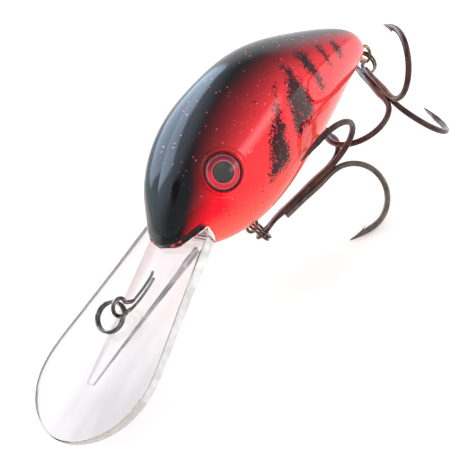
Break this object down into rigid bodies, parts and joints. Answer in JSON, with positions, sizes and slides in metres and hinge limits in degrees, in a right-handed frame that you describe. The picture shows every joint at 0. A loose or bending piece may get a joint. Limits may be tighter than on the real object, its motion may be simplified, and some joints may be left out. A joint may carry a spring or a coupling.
{
  "type": "crankbait fishing lure",
  "caption": "Deep-diving crankbait with a plump painted hollow body, a long clear sloping diving lip with line tie and split ring, and treble hooks on split rings at belly and tail.",
  "frame": {"origin": "centre of the bottom of the bounding box, on the floor plane", "axes": "+Y from the nose to the tail, +Z towards the back, +X towards the fish's left flank"},
  "size_m": [0.0332, 0.102, 0.0427],
  "materials": {
    "shell": "painted crayfish pattern under clear gloss lacquer",
    "lip": "clear polycarbonate, lightly scratched",
    "nickel": "black nickel plated wire",
    "brass": "dull brass wire",
    "hook": "dark bronze lacquered wire",
    "iris": "printed red eye with a dark pupil",
    "lens": "clear domed plastic",
    "ballast": "cast weight",
    "steel": "bright steel ball"
  },
  "bodies": {
    "lure_body": {"left_body_shell": "shell", "right_body_shell": "shell", "diving_lip": "lip", "line_tie_wire": "nickel", "belly_hanger": "brass", "tail_hanger": "brass", "left_eye_iris": "iris", "left_eye_lens": "lens", "right_eye_iris": "iris", "right_eye_lens": "lens", "ballast_weight": "ballast"},
    "line_ring": {"line_tie_split_ring": "nickel"},
    "belly_ring": {"belly_split_ring": "nickel"},
    "belly_treble": {"belly_treble_double_hook": "hook", "belly_treble_single_hook": "hook"},
    "tail_ring": {"tail_split_ring": "brass"},
    "tail_treble": {"tail_treble_double_hook": "hook", "tail_treble_single_hook": "hook"},
    "rattle_1": {"rattle_ball_1": "steel"},
    "rattle_2": {"rattle_ball_2": "steel"},
    "rattle_3": {"rattle_ball_3": "steel"}
  },
  "joints": [
    {"name": "line_ring_swing", "type": "hinge", "parent": "lure_body", "child": "line_ring", "pos_m": [-0.00316, -0.03038, 0.0175], "axis": [1, 0, 0], "range_deg": [-110, 0]},
    {"name": "belly_ring_swing", "type": "hinge", "parent": "lure_body", "child": "belly_ring", "pos_m": [-0.00316, 0.00253, 0.01259], "axis": [1, 0, 0], "range_deg": [-90, 0]},
    {"name": "belly_hook_swing", "type": "hinge", "parent": "belly_ring", "child": "belly_treble", "pos_m": [-0.00369, 0.00515, 0.00886], "axis": [-0.9505, 0.2601, -0.1701], "range_deg": [0, 50]},
    {"name": "tail_ring_swing", "type": "hinge", "parent": "lure_body", "child": "tail_ring", "pos_m": [-0.00316, 0.04873, 0.02579], "axis": [1, 0, 0], "range_deg": [0, 110]},
    {"name": "tail_hook_swing", "type": "hinge", "parent": "tail_ring", "child": "tail_treble", "pos_m": [-0.007, 0.04899, 0.02373], "axis": [0.077, -0.096, 0.9924], "range_deg": [-20, 15]},
    {"name": "rattle_1_roll", "type": "slide", "parent": "lure_body", "child": "rattle_1", "axis": [1, 0, 0], "range_m": [-0.0058, 0.0058]},
    {"name": "rattle_2_roll", "type": "slide", "parent": "lure_body", "child": "rattle_2", "axis": [1, 0, 0], "range_m": [-0.0052, 0.0052]},
    {"name": "rattle_3_roll", "type": "slide", "parent": "lure_body", "child": "rattle_3", "axis": [1, 0, 0], "range_m": [-0.004, 0.004]}
  ]
}
